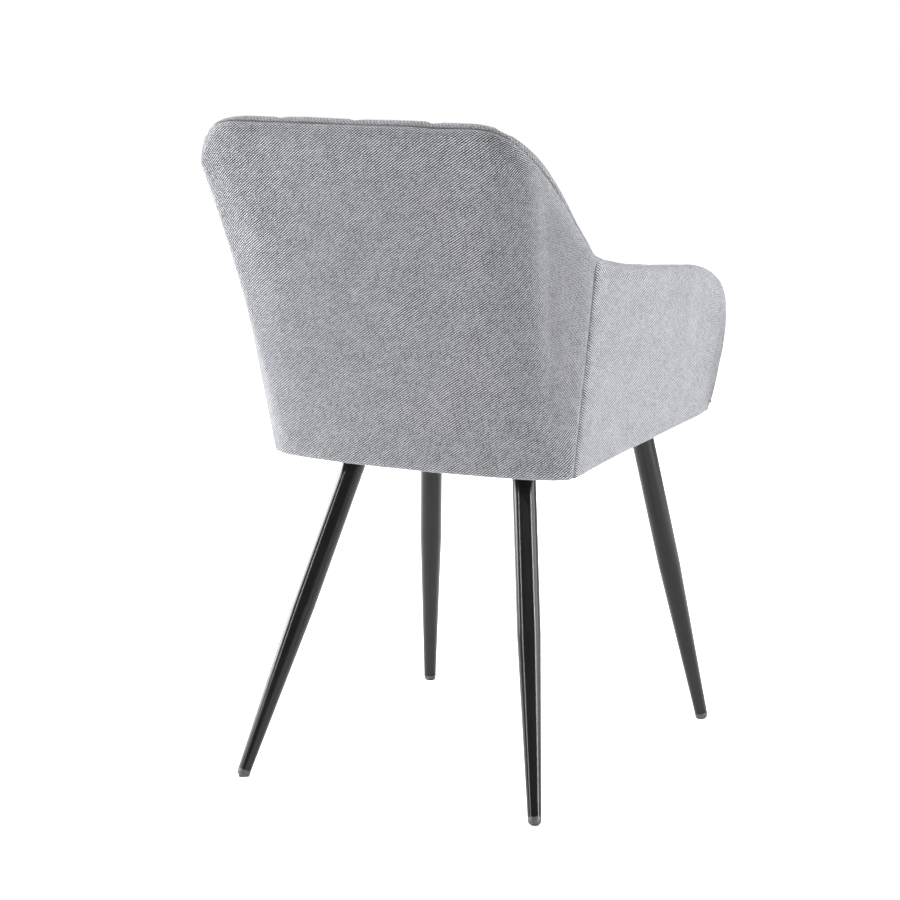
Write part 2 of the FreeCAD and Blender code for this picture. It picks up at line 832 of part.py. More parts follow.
def make_lining():
    """Thin cloth stretched between the bottom edges of the shell, with a hole for each leg."""
    lining = new_body("seat_lining")
    sketch = new_sketch(lining, "XY_Plane")
    wide = "sizes.base_half_width - sizes.lining_inset"
    rear = "-sizes.lining_inset"
    front = "sizes.front_y - sizes.base_rear_y + sizes.lining_front_inset"
    cut = "sizes.lining_corner_cut"
    flat = "sizes.lining_rear_share * sizes.base_half_width"
    rear_edge = rear + " - sizes.lining_rear_set"
    polygon(sketch, [
        ("-(%s)" % wide, front),
        (wide, front),
        (wide, "%s - 2 * %s" % (rear, cut)),
        ("%s - %s" % (wide, cut), "%s - %s" % (rear, cut)),
        (flat, rear_edge),
        ("-" + flat, rear_edge),
        ("-(%s - %s)" % (wide, cut), "%s - %s" % (rear, cut)),
        ("-(%s)" % wide, "%s - 2 * %s" % (rear, cut)),
    ])
    level = "(sizes.base_rear_height + sizes.lining_hole_level)"
    share = "%s / fits.plate_underside" % level
    for end in ("rear", "front"):
        foot = "sizes.%s_foot_" % end
        head = "sizes.%s_plate_" % end
        for sign in ("-", ""):
            across = "%s(%sx + (%sx - %sx) * %s)" % (sign, foot, head, foot, share)
            along = "%sy + (%sy - %sy) * %s - sizes.base_rear_y" % (foot, head, foot, share)
            circle(sketch, across, along, "sizes.lining_hole_radius")
    pad(lining, sketch, "sizes.lining")
    rear_y = size("base_rear_y")
    slope = (base_height(size("front_y")) - base_height(rear_y)) / (size("front_y") - rear_y)
    lining.Placement = FreeCAD.Placement(
        V(0, rear_y, size("base_rear_height") + size("layer_gap")),
        FreeCAD.Rotation(V(1, 0, 0), math.degrees(math.atan(slope))),
    )
    keep(lining, "seat_lining")


# Angle brackets under the seat board


def make_bracket(label, strip, t):
    """Folded steel angle; returns its two screws and the hole each one needs."""
    wall = size("board_face") + size("bracket_gap")
    corner = strip.point(t, wall, size("seat_board_height"))
    outward = strip.outward(t)
    lean = "%.6f" % strip.lean(t)
    bracket = new_body(label)
    sketch = new_sketch(bracket, "XZ_Plane")
    thick = "sizes.bracket_sheet"
    drop = "sizes.bracket_drop"
    polygon(sketch, [
        ("0", "0"),
        ("-sizes.bracket_flange", "0"),
        ("-sizes.bracket_flange", "-" + thick),
        ("-%s * (1 + %s)" % (thick, lean), "-" + thick),
        ("-%s - %s * %s" % (thick, drop, lean), "-" + drop),
        ("-%s * %s" % (drop, lean), "-" + drop),
    ])
    pad(bracket, sketch, "sizes.bracket_width", symmetric=True)
    flat_holes = new_sketch(bracket, "XY_Plane")
    wall_holes = new_sketch(bracket, "YZ_Plane")
    hole = "sizes.screw_radius + sizes.fit_clearance"
    for sign in ("-", ""):
        beside = sign + "sizes.bracket_width / 4"
        circle(flat_holes, "-sizes.bracket_flange * sizes.bracket_seat_hole", beside, hole)
        circle(wall_holes, beside, "-sizes.bracket_drop * sizes.bracket_wall_hole", hole)
    pocket_both_ways(bracket, flat_holes, "4 * sizes.bracket_sheet")
    pocket_both_ways(bracket, wall_holes, "4 * sizes.bracket_drop")
    turn = FreeCAD.Rotation(V(0, 0, 1), math.degrees(math.atan2(outward.y, outward.x)))
    bracket.Placement = FreeCAD.Placement(corner, turn)
    keep(bracket, label)

    screws = []
    wall_drills = []
    seat_drills = []
    sheet_steel = size("bracket_sheet")
    grip = size("screw_grip")
    up = V(0, 0, 1)
    inset = size("bracket_flange") * size("bracket_seat_hole")
    depth = size("bracket_drop") * size("bracket_wall_hole")
    for sign in (-1, 1):
        along = turn.multVec(V(0, sign * size("bracket_width") / 4, 0))
        under = corner + along - outward * inset - up * sheet_steel
        screws.append(wood_screw(under, up, grip))
        seat_drills.append((under.x, under.y))
        seat_depth = sheet_steel + (depth + size("screw_head_radius")) * strip.lean(t)
        face = corner + along - up * depth - outward * seat_depth
        screws.append(wood_screw(face, outward, grip))
        wall_drills.append(screw_hole(face, outward, grip))
    return screws, seat_drills, wall_drills


def nearest_station(strip, y):
    """Station of an arm strip whose bottom edge lies at this y."""
    return strip.base.parameter(V(strip.base.value(strip.length / 2).x, y, base_height(y)))


# Shell pieces


def post_screws(strip, end_t, toward):
    """Screws through a shell board into the corner post behind it."""
    t = end_t + toward * size("post_half_width") / 2
    near = size("board_back")
    screws = []
    holes = []
    low = strip.base.value(t).z + size("post_screw_edge")
    high = rim_roll_start(strip, t) - size("post_drop") - size("post_screw_edge")
    sunk = size("screw_head_height") + size("screw_head_radius") * strip.lean(t) + size("screw_sink")
    for i in range(3):
        face = strip.point(t, near + sunk, low + (high - low) * i / 2)
        inward = strip.outward(t) * -1
        screws.append(wood_screw(face, inward, size("post_screw_length")))
        clearance = size("fit_clearance")
        bore = size("screw_head_radius") + clearance
        counterbore = cylinder(bore, 2 * sunk, face - inward * 2 * sunk, inward)
        holes.append(counterbore.fuse(screw_hole(face, inward, size("post_screw_length"))))
    return screws, holes


def drilled(shape, holes):
    for hole in holes:
        shape = shape.cut(hole)
    return shape


def make_shell():
    back, arms = shell_strips()
    gap = size("layer_gap")
    post = size("post_half_width")
    foam_start = post + size("post_clearance")
    end = back.length
    fasteners = []
    back_holes = []
    seat_drills = []
    post_fixings = []

    for side, sign in sides.items():
        near = V(sign * size("back_bracket_x"), size("base_rear_y"), size("base_rear_height"))
        t = back.base.parameter(near)
        screws, seat, wall = make_bracket("back_bracket_" + side, back, t)
        fasteners += screws
        seat_drills += seat
        back_holes += wall

    for side, sign in sides.items():
        arm = arms[side]
        wall_holes = []
        for place in ("front", "rear"):
            t = nearest_station(arm, size("side_bracket_%s_y" % place))
            screws, seat, wall = make_bracket("side_bracket_%s_%s" % (place, side), arm, t)
            fasteners += screws
            seat_drills += seat
            wall_holes += wall
        into_arm, arm_fix = post_screws(arm, 0, 1)
        back_end, toward = (end, -1) if sign > 0 else (0, 1)
        into_back, back_fix = post_screws(back, back_end, toward)
        post_fixings += into_arm + into_back
        post_holes = arm_fix + back_fix
        back_holes += post_holes
        board = layer(arm, board_section, gap, arm.length - size("board_end_gap"))
        keep_shape(drilled(board, wall_holes + post_holes), "side_board_" + side)
        padding_end = arm.length - size("padding_end_gap")
        keep_shape(layer(arm, wadding_section, gap, padding_end), "side_wadding_" + side)
        keep_shape(layer(arm, outer_cover_section, gap, arm.length), "side_cover_" + side)
        foam = padding_layer(arm, gap, arm.length, foam_start, padding_end)
        keep_shape(foam, "arm_foam_" + side)
        keep_shape(layer(arm, inner_cover_section, gap, arm.length), "arm_inner_cover_" + side)
        near_post = layer(arm, post_section, gap, post)
        far_post = layer(back, post_section, back_end + toward * post, back_end + toward * gap)
        halves = [drilled(near_post, post_holes), drilled(far_post, post_holes)]
        keep_shape(Part.makeCompound(halves), "corner_post_" + side)

    keep_shape(drilled(layer(back, board_section, gap, end - gap), back_holes), "back_board")
    keep_shape(layer(back, wadding_section, gap, end - gap), "back_wadding")
    keep_shape(layer(back, outer_cover_section, gap, end - gap), "back_outer_cover")
    foam = padding_layer(back, gap, end - gap, foam_start, end - foam_start)
    keep_shape(foam, "back_foam")
    keep_shape(layer(back, inner_cover_section, gap, end - gap), "back_inner_cover")
    keep_shape(Part.makeCompound(fasteners), "bracket_screws")
    keep_shape(Part.makeCompound(post_fixings), "post_screws")
    return seat_drills


def check_and_write():
    doc.recompute()
    for item in doc.Objects:
        if "Invalid" in item.State or "Error" in item.State:
            raise RuntimeError(item.Label + " did not build")
    os.makedirs("parts", exist_ok=True)
    for item in sub_parts:
        if item.Shape.isNull() or not item.Shape.isValid() or not item.Shape.Solids:
            raise RuntimeError(item.Label + " has no valid solid")
    for item in sub_parts:
        item.Shape.exportStep(os.path.join("parts", item.Label + ".step"))


make_seat_board(make_shell())
make_seat_pad()
make_lining()
make_legs()
make_leg_fasteners()
check_and_write()
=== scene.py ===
import json
import math
import bpy
import bmesh
import numpy as np
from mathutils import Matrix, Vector, noise
from mathutils.bvhtree import BVHTree
from mathutils.kdtree import KDTree


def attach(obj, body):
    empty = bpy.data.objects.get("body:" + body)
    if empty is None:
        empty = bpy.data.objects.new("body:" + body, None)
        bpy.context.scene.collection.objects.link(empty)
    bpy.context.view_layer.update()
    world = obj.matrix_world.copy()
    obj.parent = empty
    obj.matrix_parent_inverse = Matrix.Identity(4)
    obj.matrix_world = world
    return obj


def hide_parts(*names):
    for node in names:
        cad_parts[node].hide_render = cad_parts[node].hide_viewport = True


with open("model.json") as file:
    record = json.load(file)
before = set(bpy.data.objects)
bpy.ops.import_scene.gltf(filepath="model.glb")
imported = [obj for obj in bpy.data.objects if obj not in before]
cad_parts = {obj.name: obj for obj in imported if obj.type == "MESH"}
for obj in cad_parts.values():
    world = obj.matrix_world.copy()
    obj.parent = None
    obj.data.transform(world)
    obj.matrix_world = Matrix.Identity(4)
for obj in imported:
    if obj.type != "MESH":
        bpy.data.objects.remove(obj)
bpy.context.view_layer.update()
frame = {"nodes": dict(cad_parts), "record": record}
nodes = frame["nodes"]
MM = 0.001

# Shell outline, for the sitter's left half, in millimetres: bottom edge (x, y), rim (x, y, z),
# corner radius of the rolled edge, from the middle of the back round the corner to the front of the arm.
SEAM = 7
STATIONS = [
    ((0, 169.6), (0, 316.0, 820), 25.0),
    ((72, 168.1), (105.3, 313.5, 819.5), 24.0),
    ((132, 162.6), (194, 304.6, 811), 22.0),
    ((163, 158.0), (219, 281.6, 786), 21.0),
    ((183.5, 152.0), (228, 238.5, 751), 20.0),
    ((194.5, 146.0), (237, 192.0, 704), 19.5),
    ((200.5, 142.0), (242, 167.5, 682), 19.5),
    ((205, 135.5), (244, 147.0, 667.0), 19.5),
    ((205.5, 121.0), (244.2, 126.0, 659.5), 19.5),
    ((203, 80.6), (244.6, 80.6, 649), 19.5),
    ((200, -20.4), (242.7, -20.4, 635), 19.5),
    ((200, -130.4), (237, -130.4, 623), 19.5),
    ((200, -200.4), (231, -200.4, 614), 19.5),
    ((200, -214), (228, -229.4, 608.5), 19.5),
    ((200, -226), (226, -257.4, 600), 19.5),
    ((200, -236), (224.5, -284.0, 585), 19.5),
    ((200, -245), (222.5, -301.0, 563), 19.0),
    ((200, -253), (220, -308.0, 536), 17.0),
    ((200, -260), (216, -309.0, 506), 15.0),
    ((200, -266), (210.5, -306.4, 474), 14.0),
    ((200, -271), (206, -302.4, 446), 12.0),
    ((200, -275), (203, -296.0, 426), 9.0),
    ((200, -277.5), (201, -284.0, 412), 5.0),
]
ARM_THICK = 39.0
BACK_THICK = 50.0
SEAT_LEVEL = 441.0
REAR_Y = 169.6
REAR_HEM = 394.0
HEM_SLOPE = 17.0 / 473.0
TOE_FROM = 16
TOE_LIFT = 2.5


def base_height(y):
    """Height of the shell's bottom edge, which rises evenly towards the front."""
    return REAR_HEM + (REAR_Y - y) * HEM_SLOPE


def through(ts, points):
    """Smooth curve through points at the parameters ts."""
    ts = np.asarray(ts, float)
    points = np.asarray(points, float)
    if points.ndim == 1:
        points = points[:, None]
    h = np.diff(ts)
    slope = np.diff(points, axis=0) / h[:, None]
    m = np.empty_like(points)
    m[0], m[-1] = slope[0], slope[-1]
    m[1:-1] = (slope[1:] * h[:-1, None] + slope[:-1] * h[1:, None]) / (h[1:] + h[:-1])[:, None]

    def value(t):
        t = np.clip(np.atleast_1d(np.asarray(t, float)), ts[0], ts[-1])
        i = np.clip(np.searchsorted(ts, t, side="right") - 1, 0, len(h) - 1)
        s = ((t - ts[i]) / h[i])[:, None]
        hi = h[i][:, None]
        return ((2 * s**3 - 3 * s**2 + 1) * points[i] + (s**3 - 2 * s**2 + s) * hi * m[i]
                + (-2 * s**3 + 3 * s**2) * points[i + 1] + (s**3 - s**2) * hi * m[i + 1])

    return value


def unit(v):
    return v / np.maximum(np.linalg.norm(v, axis=-1, keepdims=True), 1e-9)


def build_shell():
    """Curves of the whole shell: t runs from the left arm's front round the back to the right arm's."""
    base, rim, radius, out, thick = [], [], [], [], []
    count = len(STATIONS)
    for i, ((bx, by), r, rc) in enumerate(STATIONS):
        toe = TOE_LIFT * (max(i - TOE_FROM, 0) / (count - 1 - TOE_FROM)) ** 2
        base.append((bx, by, base_height(by) + toe))
        rim.append(r)
        radius.append(rc)
        sideways = np.array([1.0, 0.0])
        if i > SEAM + 1:
            d = sideways
        else:
            d = unit(np.array([r[0] - bx, r[1] - by]))
            if i >= SEAM:
                d = unit(d + (i - SEAM + 1) * 0.5 * sideways)
        out.append((d[0], d[1], 0.0))
        share = min(i / SEAM, 1.0)
        thick.append(ARM_THICK + (BACK_THICK - ARM_THICK) * (1 - share**2))
    base, rim, out = np.array(base, float), np.array(rim, float), np.array(out, float)
    steps = [0.0]
    for i in range(1, count):
        chords = np.linalg.norm(base[i] - base[i - 1]) + np.linalg.norm(rim[i] - rim[i - 1])
        steps.append(steps[-1] + chords / 2)
    steps = np.array(steps)
    flip = np.array([-1.0, 1.0, 1.0])
    ts = np.concatenate([-steps[:0:-1], steps])

    def both(a, vector=True):
        a = np.asarray(a, float)
        return np.concatenate([a[:0:-1], a * flip if vector else a])

    return {
        "steps": steps,
        "base": through(ts, both(base)),
        "rim": through(ts, both(rim)),
        "out": through(ts, both(out)),
        "radius": through(ts, both(radius, False)),
        "thick": through(ts, both(thick, False)),
    }


SHELL = build_shell()
T_SEAM = SHELL["steps"][SEAM]
T_END = SHELL["steps"][-1]
T_WING = (SHELL["steps"][3] + SHELL["steps"][4]) / 2
WING_HOLLOW = 6.0


def shell_frame(t):
    """Everything the profiles need at the stations t."""
    b, r = SHELL["base"](t), SHELL["rim"](t)
    inward = -unit(SHELL["out"](t))
    rc = SHELL["radius"](t)
    thick = SHELL["thick"](t)
    along = unit(SHELL["rim"](t + 1.0) - SHELL["rim"](t - 1.0))
    f = unit(r - b)
    e = unit(f - np.sum(f * along, axis=1, keepdims=True) * along)
    q = r - rc * e
    return b, r, q, e, inward, rc, thick


def roll_points(q, e, inward, rc, thick, shares):
    """Points over the rolled edge: share 0 is on the outer face, 1 on the inner face."""
    flat = np.maximum(thick - 2 * rc, 0)
    quarter = rc * math.pi / 2
    total = 2 * quarter + flat
    rows = []
    for share in shares:
        s = share * total
        first = np.clip(s / quarter, 0, 1) * (math.pi / 2)
        mid = np.clip(s - quarter, 0, flat)
        last = np.clip((s - quarter - flat) / quarter, 0, 1) * (math.pi / 2)
        up = rc * (np.sin(first) - (1 - np.cos(last)))
        deep = rc * (1 - np.cos(first)) + mid + rc * np.sin(last)
        rows.append(q + e * up + inward * deep)
    return np.stack(rows, axis=1)


# Where the seam runs over the rolled edge, from 0 on the outer face to 1 on the inner face
BACK_SEAM_SHARE = 0.31
ARM_SEAM_SHARE = 0.72
HEM_ROUND = 5.0
HEM_WIDTH = 27.0
FACE_ROWS = 92
ROLL_ROWS = 9
WING_SPREAD = 55.0


def smooth(x, low, high):
    s = np.clip((x - low) / (high - low), 0, 1)
    return s * s * (3 - 2 * s)


def groove(distance, depth, width):
    return depth * np.exp(-((distance / width) ** 2))


def outer_grid(t, end_share):
    """Underside hem, rounded bottom edge, outer face and part of the rolled rim."""
    b, r, q, e, inward, rc, thick = shell_frame(t)
    up = unit(q - b)
    rows = []
    for deep in np.linspace(HEM_WIDTH, HEM_ROUND, 6):
        rows.append(b + inward * deep + np.array([0, 0, 0.4 + 0.03 * deep]))
    for angle in np.radians([22, 45, 68]):
        rows.append(b + inward * HEM_ROUND * (1 - math.sin(angle)) + up * HEM_ROUND * (1 - math.cos(angle)))
    start = b + up * HEM_ROUND
    hollow = groove(np.abs(t) - T_WING, WING_HOLLOW, WING_SPREAD)[:, None]
    for share in np.linspace(0, 1, FACE_ROWS):
        rows.append(start + (q - start) * share + inward * hollow * 6.75 * share**2 * (1 - share))
    face = np.stack(rows, axis=1)
    over = roll_points(q, e, inward, rc, thick, np.linspace(0, end_share, ROLL_ROWS + 1)[1:])
    return np.concatenate([face, over], axis=1)


def inner_grid(t, start_share, face_rows, roll_rows):
    """The rest of the rolled rim and the inner face, down behind the cushion."""
    b, r, q, e, inward, rc, thick = shell_frame(t)
    over = roll_points(q, e, inward, rc, thick, np.linspace(start_share, 1, roll_rows))
    top = over[:, -1]
    foot = b + inward * thick
    low = foot[:, 2:3] + 12
    wanted = np.clip(SEAT_LEVEL, low, np.maximum(top[:, 2:3] - 6, low))
    share = np.clip((wanted - foot[:, 2:3]) / np.maximum(top[:, 2:3] - foot[:, 2:3], 1e-3), 0, 1)
    bottom = foot + (top - foot) * share
    rows = [top + (bottom - top) * s for s in np.linspace(0, 1, face_rows + 1)[1:]]
    return np.concatenate([over, np.stack(rows, axis=1)], axis=1)


def grid_normals(p):
    du = np.gradient(p, axis=0)
    dv = np.gradient(p, axis=1)
    return unit(np.cross(du, dv))


def arc(p, axis):
    d = np.linalg.norm(np.diff(p, axis=axis), axis=-1)
    total = np.cumsum(d, axis=axis)
    pad = [(0, 0), (0, 0)]
    pad[axis] = (1, 0)
    return np.pad(total, pad)


def ripple(p, scale, amount, seed):
    flat = p.reshape(-1, 3)
    values = [noise.noise(Vector(q) / scale + Vector((seed, 2.3 * seed, 0))) for q in flat]
    return np.array(values).reshape(p.shape[:2]) * amount


def closed_mesh(name, front, back, weave=None):
    """Closed piece from two matching grids."""
    n, m = front.shape[:2]
    verts = np.concatenate([front.reshape(-1, 3), back.reshape(-1, 3)]) * MM
    idx = np.arange(n * m).reshape(n, m)
    far = idx + n * m
    faces = []
    for grid, step in ((idx, 1), (far, -1)):
        corners = [grid[:-1, :-1], grid[1:, :-1], grid[1:, 1:], grid[:-1, 1:]]
        corners = corners[:1] + corners[1:][::step]
        faces += np.stack(corners, -1).reshape(-1, 4).tolist()
    ring = list(idx[:, 0]) + list(idx[-1, 1:]) + list(idx[-2::-1, -1]) + list(idx[0, -2:0:-1])
    for i, v in enumerate(ring):
        w = ring[(i + 1) % len(ring)]
        faces.append([int(w), int(v), int(v + n * m), int(w + n * m)])
    mesh = bpy.data.meshes.new(name)
    mesh.from_pydata(verts.tolist(), [], faces)
    mesh.update()
    bm = bmesh.new()
    bm.from_mesh(mesh)
    bmesh.ops.recalc_face_normals(bm, faces=bm.faces)
    bm.to_mesh(mesh)
    bm.free()
    mesh.shade_smooth()
    obj = bpy.data.objects.new(name, mesh)
    bpy.context.scene.collection.objects.link(obj)
    if weave is not None:
        both = np.concatenate([weave.reshape(-1, 2), weave.reshape(-1, 2)]) * MM
        store_weave(obj, both)
    return obj


def store_weave(obj, uv):
    data = np.zeros((len(uv), 3), np.float32)
    data[:, :2] = uv
    attribute = obj.data.attributes.new("weave", "FLOAT_VECTOR", "POINT")
    attribute.data.foreach_set("vector", data.ravel())


def stations_between(start, stop, pitch, fine=1.5, margin=9.0):
    """Parameters from start to stop, closer together at both ends."""
    body = np.linspace(start + margin, stop - margin, max(int((stop - start - 2 * margin) / pitch), 2))
    head = np.linspace(start, start + margin, int(margin / fine), endpoint=False)
    tail = np.linspace(stop - margin, stop, int(margin / fine) + 1)[1:]
    return np.concatenate([head, body, tail])


def tube(name, points, radius, sides=8, closed=False):
    points = np.asarray(points, float)
    count = len(points)
    if closed:
        tangent = unit(np.roll(points, -1, 0) - np.roll(points, 1, 0))
    else:
        tangent = unit(np.gradient(points, axis=0))
    normal = np.zeros_like(points)
    first = np.cross(tangent[0], [0.13, 0.21, 0.97])
    if np.linalg.norm(first) < 1e-3:
        first = np.cross(tangent[0], [1, 0, 0])
    normal[0] = first / np.linalg.norm(first)
    for i in range(1, count):
        v = normal[i - 1] - tangent[i] * np.dot(normal[i - 1], tangent[i])
        normal[i] = v / np.linalg.norm(v)
    side = np.cross(tangent, normal)
    radius = np.broadcast_to(np.asarray(radius, float), (count,))[:, None]
    rings = []
    for k in range(sides):
        a = 2 * math.pi * k / sides
        rings.append(points + (normal * math.cos(a) + side * math.sin(a)) * radius)
    verts = np.stack(rings, axis=1).reshape(-1, 3) * MM
    faces = []
    last = count if closed else count - 1
    for i in range(last):
        j = (i + 1) % count
        for k in range(sides):
            k2 = (k + 1) % sides
            faces.append([i * sides + k, i * sides + k2, j * sides + k2, j * sides + k])
    if not closed:
        faces.append(list(range(sides))[::-1])
        faces.append([(count - 1) * sides + k for k in range(sides)])
    mesh = bpy.data.meshes.new(name)
    mesh.from_pydata(verts.tolist(), [], faces)
    mesh.shade_smooth()
    obj = bpy.data.objects.new(name, mesh)
    bpy.context.scene.collection.objects.link(obj)
    length = np.concatenate([[0], np.cumsum(np.linalg.norm(np.diff(points, axis=0), axis=1))])
    uv = np.stack([np.repeat(length, sides), np.tile(np.arange(sides) * 1.2, count)], -1) * MM
    store_weave(obj, uv)
    return obj


# Outer panels

COVER = 2.4
CROWN = 2.0
SEAM_DEPTH = 2.2
SEAM_WIDTH = 3.0
RIM_SEAM_DEPTH = 1.8
RIM_SEAM_WIDTH = 2.6


def outer_panel(name, start, stop, end_share, mirrored):
    t = stations_between(start, stop, 4.5)
    p = outer_grid(t, end_share)
    across = arc(p, 0)
    up = arc(p, 1)
    mid = np.searchsorted(t, 0) if start < 0 < stop else 0
    u = across - across[mid:mid + 1]
    n = grid_normals(p)
    height = up / up[:, -1:]
    width = across / np.maximum(across[-1:], 1e-6)
    swell = CROWN * np.sin(math.pi * np.clip((height - 0.08) / 0.84, 0, 1)) * np.sin(math.pi * width) ** 0.5
    from_stop = across[-1:] - across
    from_top = up[:, -1:] - up
    fade = 1 - 0.75 * smooth(height, 0.93, 1.0)
    dip = np.zeros_like(up)
    if abs(start) < T_END - 1:
        dip += groove(across, SEAM_DEPTH, SEAM_WIDTH) * fade
    if abs(stop) < T_END - 1:
        dip += groove(from_stop, SEAM_DEPTH, SEAM_WIDTH) * fade
    dip = np.maximum(dip, groove(from_top, RIM_SEAM_DEPTH, RIM_SEAM_WIDTH))
    sign = 1.0
    centre = p[len(t) // 2, p.shape[1] // 2]
    if np.dot(n[len(t) // 2, p.shape[1] // 2], centre - np.array([0, 0, centre[2]])) < 0:
        sign = -1.0
    n = n * sign
    p = p + n * (swell + ripple(p, 70.0, 0.9, 3.1) * height - dip)[..., None]
    n = grid_normals(p) * sign
    weave = np.stack([-u if mirrored else u, up], -1)
    return closed_mesh(name, p, p - n * COVER, weave)


# Padded pieces: swollen by a cloth simulation with the stitched lines held

PAD_DEPTH = 15.0
CHANNEL_DEPTH = 5.0
CHANNEL_WIDTH = 5.0


def simulate(obj, held, pressure, cap, frames=18):
    """Inflate a closed mesh with the held vertices fixed; no vertex moves further than cap (mm)."""
    mesh = obj.data
    count = len(mesh.vertices)
    before = np.zeros(count * 3)
    mesh.vertices.foreach_get("co", before)
    before = before.reshape(-1, 3)
    group = obj.vertex_groups.new(name="held")
    group.add([int(i) for i in held], 1.0, "REPLACE")
    cloth = obj.modifiers.new("Cloth", "CLOTH")
    s = cloth.settings
    s.quality = 6
    s.mass = 0.3
    s.tension_stiffness = 15
    s.compression_stiffness = 15
    s.shear_stiffness = 8
    s.bending_stiffness = 1.2
    s.tension_damping = 8
    s.air_damping = 4
    s.use_pressure = True
    s.uniform_pressure_force = pressure
    s.vertex_group_mass = "held"
    s.effector_weights.gravity = 0
    cloth.collision_settings.use_collision = False
    cloth.collision_settings.use_self_collision = False
    cloth.point_cache.frame_start = 1
    cloth.point_cache.frame_end = frames
    scene = bpy.context.scene
    for number in range(1, frames + 1):
        scene.frame_set(number)
    moved = obj.evaluated_get(bpy.context.evaluated_depsgraph_get())
    after = np.zeros(count * 3)
    moved.data.vertices.foreach_get("co", after)
    after = after.reshape(-1, 3)
    scene.frame_set(1)
    obj.modifiers.remove(cloth)
    obj.vertex_groups.remove(group)
    step = after - before
    if not np.isfinite(step).all():
        return
    length = np.linalg.norm(step, axis=1, keepdims=True)
    limit = cap * MM
    soft = limit * np.tanh(length / limit)
    after = before + step * soft / np.maximum(length, 1e-9)
    mesh.vertices.foreach_set("co", after.ravel())
    mesh.update()


def inner_pad(name, t, start_share, channels, face_rows, roll_rows, pressure, cap):
    p = inner_grid(t, start_share, face_rows, roll_rows)
    n = grid_normals(p)
    centre = p[len(t) // 2, -3]
    if np.dot(n[len(t) // 2, -3], np.array([0, centre[1] * 0.2, centre[2]]) - centre) < 0:
        n = -n
    across = arc(p, 0)
    down = arc(p, 1)
    line = np.zeros(p.shape[:2])
    held_cols = set()
    for place in channels:
        i = int(np.argmin(np.abs(t - place)))
        held_cols.add(i)
        line = np.maximum(line, groove(across - across[i:i + 1], CHANNEL_DEPTH, CHANNEL_WIDTH))
    foot = smooth(down, 6.0, 24.0) if channels else 1.0
    dip = line * foot
    dip = np.maximum(dip, groove(down, RIM_SEAM_DEPTH, RIM_SEAM_WIDTH))
    for distance in (across, across[-1:] - across):
        dip = np.maximum(dip, groove(distance, 2.0, SEAM_WIDTH))
    front = p + n * (smooth(down, 4, 30) - dip)[..., None]
    depth = np.minimum(PAD_DEPTH, 2.5 + down * 0.45)
    edge = np.minimum(across, across[-1:] - across)
    depth = np.minimum(depth, 2.5 + edge * 0.8)
    back = front - n * depth[..., None]
    weave = np.stack([-across, -down], -1)
    obj = closed_mesh(name, front, back, weave)
    rows, cols = front.shape[:2]
    held = set(range(rows * cols, 2 * rows * cols))
    index = np.arange(rows * cols).reshape(rows, cols)
    held |= set(index[0].tolist()) | set(index[-1].tolist())
    held |= set(index[:, :3].ravel().tolist()) | set(index[:, -1].tolist())
    for i in held_cols:
        held |= set(index[i][down[i] > 14.0].tolist())
    simulate(obj, sorted(held), pressure, cap)
    return obj


# Materials


class Nodes:
    """Short way to write a node tree."""

    def __init__(self, name):
        self.material = bpy.data.materials.new(name)
        self.material.use_nodes = True
        self.tree = self.material.node_tree
        self.shader = self.tree.nodes["Principled BSDF"]

    def add(self, kind, **settings):
        node = self.tree.nodes.new(kind)
        for key, value in settings.items():
            setattr(node, key, value)
        return node

    def link(self, a, b):
        self.tree.links.new(a, b)

    def math(self, operation, a, b=None, c=None):
        node = self.add("ShaderNodeMath", operation=operation)
        for i, value in enumerate((a, b, c)):
            if value is None:
                continue
            if isinstance(value, (int, float)):
                node.inputs[i].default_value = value
            else:
                self.link(value, node.inputs[i])
        return node.outputs[0]

    def noise(self, vector, scale, detail=3.0, rough=0.55):
        node = self.add("ShaderNodeTexNoise")
        node.inputs["Scale"].default_value = scale
        node.inputs["Detail"].default_value = detail
        node.inputs["Roughness"].default_value = rough
        if vector is not None:
            self.link(vector, node.inputs["Vector"])
        return node.outputs["Fac"]

    def ramp(self, fac, stops):
        node = self.add("ShaderNodeValToRGB")
        elements = node.color_ramp.elements
        while len(elements) < len(stops):
            elements.new(0.5)
        for element, (place, colour) in zip(elements, stops):
            element.position = place
            element.color = (*colour, 1)
        self.link(fac, node.inputs["Fac"])
        return node.outputs["Color"]

    def bump(self, height, strength, distance, normal=None):
        node = self.add("ShaderNodeBump")
        node.inputs["Strength"].default_value = strength
        node.inputs["Distance"].default_value = distance
        self.link(height, node.inputs["Height"])
        if normal is not None:
            self.link(normal, node.inputs["Normal"])
        return node.outputs["Normal"]

    def set(self, **values):
        for key, value in values.items():
            self.shader.inputs[key.replace("_", " ")].default_value = value


def grey(v, tint=(1.0, 1.0, 1.0)):
    return tuple(v * k for k in tint)


